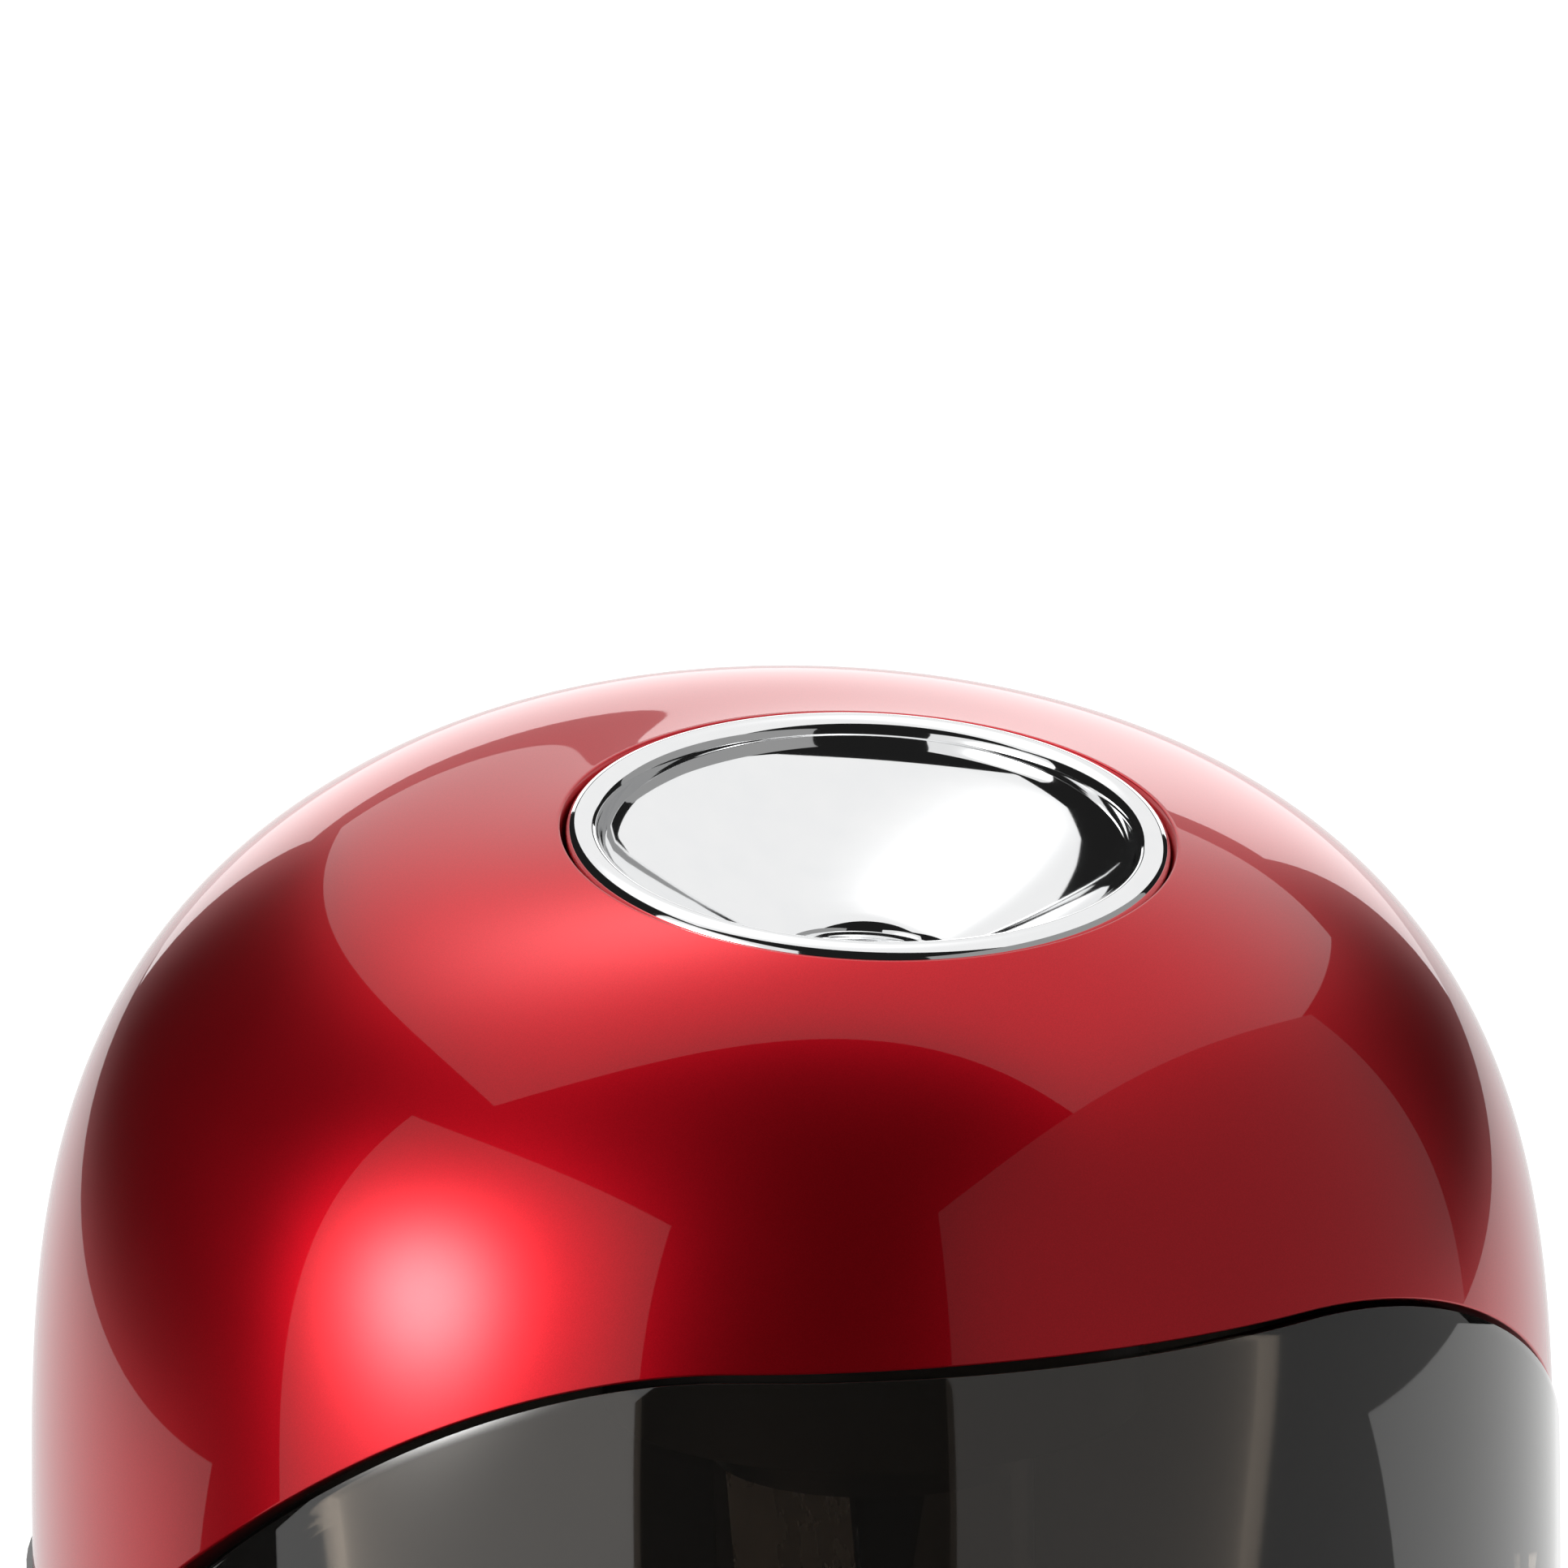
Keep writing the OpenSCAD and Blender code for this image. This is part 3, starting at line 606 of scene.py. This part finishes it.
class SHARPENER_OT_drawer(bpy.types.Operator):
    """Model the smoke drawer as one cup with an arched front and a lower rear wall"""

    bl_idname = "sharpener.drawer"
    bl_label = "Drawer"

    # In millimetres: foot, top of the rear wall, wall, seam, and where the grooves are cut
    LOW, BACK = 9.3, 34.0
    WALL = 1.8
    SEAM = 0.25
    GROOVE_AT, GROOVE_HALF = 18, 1.8
    # Half the turn that the front takes up, just short of a half circle's
    HALF = math.radians(89.66)

    def execute(self, context):
        sizes, colours = context.scene.sharpener_sizes, context.scene.sharpener_colours
        outline = Outline(-PROUD, self.LOW)
        half = self.HALF
        back = outline.where(lambda r, z: z > self.BACK)
        columns, low_rows, high_rows = 150, 14, 30
        tops = []
        for i in range(columns + 1):
            angle = half * (2 * i / columns - 1)
            tops.append(outline.where(past_arch(angle, ARCH_R - self.SEAM), back))

        def front(s, t):
            return outline.point(half * (2 * s - 1), back * t)

        def arch(s, t):
            top = tops[min(round(s * columns), columns)]
            return outline.point(half * (2 * s - 1), back + (top - back) * eased(t, 0.5))

        def rear(s, t):
            edge = outline.point(half, back * t)
            return Vector((edge.x * (1 - 2 * s), edge.y, edge.z))

        def floor(s, t):
            return outline.point(half * (2 * s - 1), 0) * t + \
                (1 - t) * Vector((outline.at(0)[0] * math.sin(half) * (2 * s - 1),
                                  outline.point(half, 0).y, self.LOW))

        cup = joined("shavings_bin_cup", wrapped("front", columns, low_rows, front),
                     wrapped("arch", columns, high_rows, arch),
                     wrapped("rear", 40, low_rows, rear),
                     wrapped("floor", columns, 12, floor))
        weld(cup, 0.02)
        apply(cup, "SOLIDIFY", thickness=self.WALL * MM, offset=-1, use_even_offset=True)
        apply(cup, "BEVEL", width=sizes.bin_edge, segments=3, limit_method="ANGLE",
              angle_limit=math.radians(50))
        for side in (-1, 1):
            middle = side * self.GROOVE_AT
            cut(cup, block("groove", (middle - self.GROOVE_HALF, -29, 9),
                           (middle + self.GROOVE_HALF, 2, 10.3)))
        hand_over(cup, "drawer", "shavings_bin", smoke_finish(colours))
        return {"FINISHED"}


# Plain pieces whose edges are rounded, with the rounding in millimetres
ROUNDED = {
    "lower_housing": 0.3, "base_plate": 0.35, "ballast_plate": 0.5, "feet": 0.4, "gear_frame": 0.25,
    "gear_cover": 0.25, "motor_can": 0.5, "motor_end_cap": 0.3, "start_switch": 0.2,
    "interlock_switch": 0.2, "dc_jack": 0.2, "cutter_holder": 0.25, "start_lever": 0.2,
    "base_screws": 0.12, "housing_screws": 0.12, "cover_screws": 0.12, "frame_screws": 0.12,
    "motor_screws": 0.1, "blade_screw": 0.12, "upper_bush": 0.12, "lower_bush": 0.12,
}


class SHARPENER_OT_edges(bpy.types.Operator):
    """Round the edges of the plain pieces, each a merged copy of its node"""

    bl_idname = "sharpener.edges"
    bl_label = "Rounded edges"

    def execute(self, context):
        colours = context.scene.sharpener_colours
        slots = {part["node"]: part["material_slot"] for part in frame["record"]["subparts"]}
        for node, width in ROUNDED.items():
            piece = merged_copy(node, f"{node}_rounded")
            bpy.ops.object.mode_set(mode="EDIT")
            bpy.ops.mesh.select_all(action="SELECT")
            bpy.ops.mesh.dissolve_limited(angle_limit=math.radians(0.3))
            bpy.ops.object.mode_set(mode="OBJECT")
            round_edges(piece, width, 40)
            slot = slots[node]
            hand_over(piece, home_of(node), node, slot_finish(slot, colours), 40)
            apply(piece, "WEIGHTED_NORMAL", keep_sharp=True)
        return {"FINISHED"}


class SHARPENER_OT_wires(bpy.types.Operator):
    """Soften the bends of the wires, on a merged copy of their node"""

    bl_idname = "sharpener.wires"
    bl_label = "Wires"

    def execute(self, context):
        wires = merged_copy("wires", "wires_softened")
        bpy.ops.object.mode_set(mode="EDIT")
        bpy.ops.mesh.select_all(action="SELECT")
        bpy.ops.mesh.tris_convert_to_quads(face_threshold=math.radians(60), shape_threshold=math.radians(60))
        bpy.ops.object.mode_set(mode="OBJECT")
        apply(wires, "SUBSURF", levels=2)
        hand_over(wires, home_of("wires"), "wires",
                  slot_finish("wire_jacket", context.scene.sharpener_colours), 60)
        return {"FINISHED"}


class SHARPENER_OT_insides(bpy.types.Operator):
    """Give the nodes that keep their shape the finish of their material slot"""

    bl_idname = "sharpener.insides"
    bl_label = "Insides"

    def execute(self, context):
        colours = context.scene.sharpener_colours
        slots = {part["node"]: part["material_slot"] for part in frame["record"]["subparts"]}
        for name, piece in frame["nodes"].items():
            slot = slots[name]
            if piece.hide_render or slot in ("red_shell", "funnel_chrome", "smoke_shell"):
                continue
            piece.data.materials.clear()
            piece.data.materials.append(slot_finish(slot, colours))
        return {"FINISHED"}


class SHARPENER_OT_studio(bpy.types.Operator):
    """Set the camera, the pale floor and the soft lights"""

    bl_idname = "sharpener.studio"
    bl_label = "Studio"

    # Camera angles, in degrees
    AZIMUTH, ELEVATION, ROLL = -19.7, 16.0, 0.46
    # The lights stand round this point, in the top of the dome, and their distances are in metres
    TOP = Vector((0, 0, 0.09))
    SIDE_TURN = 68

    def turned(self, degrees):
        """A level direction, turned this far from the camera's side."""
        angle = math.radians(degrees)
        return self.right * math.sin(angle) + self.ahead * math.cos(angle)

    def panel(self, name, middle, across, up, strength, core=None):
        """A glowing panel: its middle, its half sides as vectors, and its brightness.

        A core is a lamp behind it: its place, the radius of its glow and its extra brightness.
        """
        let_go()
        bpy.ops.mesh.primitive_plane_add(size=2)
        card = bpy.context.object
        card.name = name
        for v in card.data.vertices:
            v.co = middle + across * v.co.x + up * v.co.y
        f = Finish(name)
        light = strength
        if core:
            spot, radius, gain = core
            where = f.node("ShaderNodeTexCoord", None, out="Object")
            off = f.node("ShaderNodeVectorMath", {"operation": "SUBTRACT"}, where, spot)
            far = f.node("ShaderNodeVectorMath", {"operation": "LENGTH"}, off, out="Value")
            glow = (far * far * (-1 / (radius * radius))).math("EXPONENT")
            light = glow * gain + strength
        f.done(f.node("ShaderNodeEmission", None, Color=(1, 1, 1, 1), Strength=light))
        card.data.materials.append(f.owner)
        card.visible_camera = False
        return card

    def camera(self, scene, sizes):
        """Looks down on the dome from its left, far enough away to be nearly flat."""
        back = self.ahead * math.cos(self.tilt) + Vector((0, 0, math.sin(self.tilt)))
        up = back.cross(self.right)
        aim = Vector((0, 0, WAIST_Z)) * MM + self.right * (-0.18 * MM) + up * (43.5 * MM)
        lens = bpy.data.cameras.new("Camera")
        lens.sensor_width = 36
        lens.lens = lens.sensor_width * sizes.reach / sizes.frame_width
        lens.clip_start, lens.clip_end = 0.1, 20
        eye = bpy.data.objects.new("Camera", lens)
        scene.collection.objects.link(eye)
        eye.rotation_mode = "QUATERNION"
        roll = Matrix.Rotation(math.radians(-self.ROLL), 4, back)
        turn = roll @ Matrix((self.right, up, back)).transposed().to_4x4()
        eye.matrix_world = Matrix.Translation(aim + back * sizes.reach) @ turn
        scene.camera = eye

    def floor(self, colours):
        """A pale floor that glows faintly and stays out of the reflections."""
        let_go()
        bpy.ops.mesh.primitive_plane_add(size=8)
        floor = bpy.context.object
        floor.name = "floor"
        f = Finish("PaleFloor")
        cloud = f.noise(0.004, 2.0)
        tone = f.blend(cloud, tones(colours.floor, 0.98), tones(colours.floor, 1.02))
        f.done(f.surface(Base_Color=tone, Roughness=0.9, Specular_IOR_Level=0.2,
                         Emission_Color=(1, 1, 1, 1), Emission_Strength=0.35))
        floor.data.materials.append(f.owner)
        floor.visible_glossy = False

    def lights(self):
        """An overhead box, a lamp box on the left, a board on the right and white paper behind."""
        right, ahead, z = self.right, self.ahead, Vector((0, 0, 1))
        over = self.TOP + z * 1.0
        card = self.panel("overhead", over + right * 0.52 - ahead * 1.32, right * 1.49, ahead * 1.66, 0.9,
                          (over - right * 0.36 - ahead * 0.39, 0.34, 2.1))
        # Its front edge runs askew, nearer the camera on the right
        for v in card.data.vertices:
            if (v.co - self.TOP).dot(ahead) > 0 and (v.co - self.TOP).dot(right) > 0:
                v.co += ahead * 0.59
        left = self.turned(-self.SIDE_TURN)
        along, wall = z.cross(left), self.TOP + left * 1.0
        self.panel("left_box", wall + along * 0.37 + z * 0.1, along * 0.62, z * 0.7, 0.8,
                   (wall + along * 0.16 + z * 0.23, 0.21, 12.0))
        side = self.turned(self.SIDE_TURN)
        along, wall = z.cross(side), self.TOP + side * 1.0
        self.panel("right_board", wall + along * 0.25 + z * 0.05, along * 1.22, z * 0.66, 0.3)
        self.panel("backdrop", self.TOP - ahead * 1.6 + z * 0.16 + right * 0.03, right * 0.6, z * 0.28, 1.55)
        # White paper that runs from under the sharpener to the background
        sweep = self.panel("sweep", right * 0.06 - ahead * 0.8 - z * 0.002, right * 0.43, ahead * 0.78, 0.9)
        sweep.visible_diffuse = False

    def sky(self, scene):
        """White to the camera, grey to matt surfaces and almost black to bright ones."""
        sky = Finish("Studio", bpy.data.worlds.new("Studio"))
        scene.world = sky.owner
        seen = sky.node("ShaderNodeLightPath", None, out="Is Camera Ray")
        spread = sky.node("ShaderNodeLightPath", None, out="Is Diffuse Ray")
        level = 0.012 + seen * 1.0 + spread * 0.55
        sky.done(sky.node("ShaderNodeBackground", None, Color=(1, 1, 1, 1), Strength=level),
                 "ShaderNodeOutputWorld")

    def execute(self, context):
        scene = context.scene
        angle, self.tilt = math.radians(self.AZIMUTH), math.radians(self.ELEVATION)
        self.right = Vector((math.cos(angle), math.sin(angle), 0))
        self.ahead = Vector((math.sin(angle), -math.cos(angle), 0))
        self.camera(scene, scene.sharpener_sizes)
        self.floor(scene.sharpener_colours)
        self.lights()
        self.sky(scene)
        scene.view_settings.view_transform = "Standard"
        return {"FINISHED"}


STEPS = (SHARPENER_OT_dome, SHARPENER_OT_funnel, SHARPENER_OT_drawer, SHARPENER_OT_edges,
         SHARPENER_OT_wires, SHARPENER_OT_insides, SHARPENER_OT_studio)


class SHARPENER_PT_panel(bpy.types.Panel):
    """Lists the steps and their settings"""

    bl_label = "Sharpener"
    bl_idname = "SHARPENER_PT_panel"
    bl_space_type = "VIEW_3D"
    bl_region_type = "UI"
    bl_category = "Sharpener"

    def draw(self, context):
        for group in (context.scene.sharpener_colours, context.scene.sharpener_sizes):
            box = self.layout.box()
            for key in group.__annotations__:
                box.prop(group, key)
        for step in STEPS:
            self.layout.operator(step.bl_idname)


CLASSES = (SharpenerColours, SharpenerSizes, *STEPS, SHARPENER_PT_panel)


def register():
    for each in CLASSES:
        bpy.utils.register_class(each)
    bpy.types.Scene.sharpener_colours = bpy.props.PointerProperty(type=SharpenerColours)
    bpy.types.Scene.sharpener_sizes = bpy.props.PointerProperty(type=SharpenerSizes)


def unregister():
    del bpy.types.Scene.sharpener_sizes
    del bpy.types.Scene.sharpener_colours
    for each in reversed(CLASSES):
        bpy.utils.unregister_class(each)


def main():
    register()
    for step in STEPS:
        area, name = step.bl_idname.split(".")
        if getattr(getattr(bpy.ops, area), name)() != {"FINISHED"}:
            raise RuntimeError(f"{step.bl_label} didn't finish")


if __name__ == "__main__":
    main()
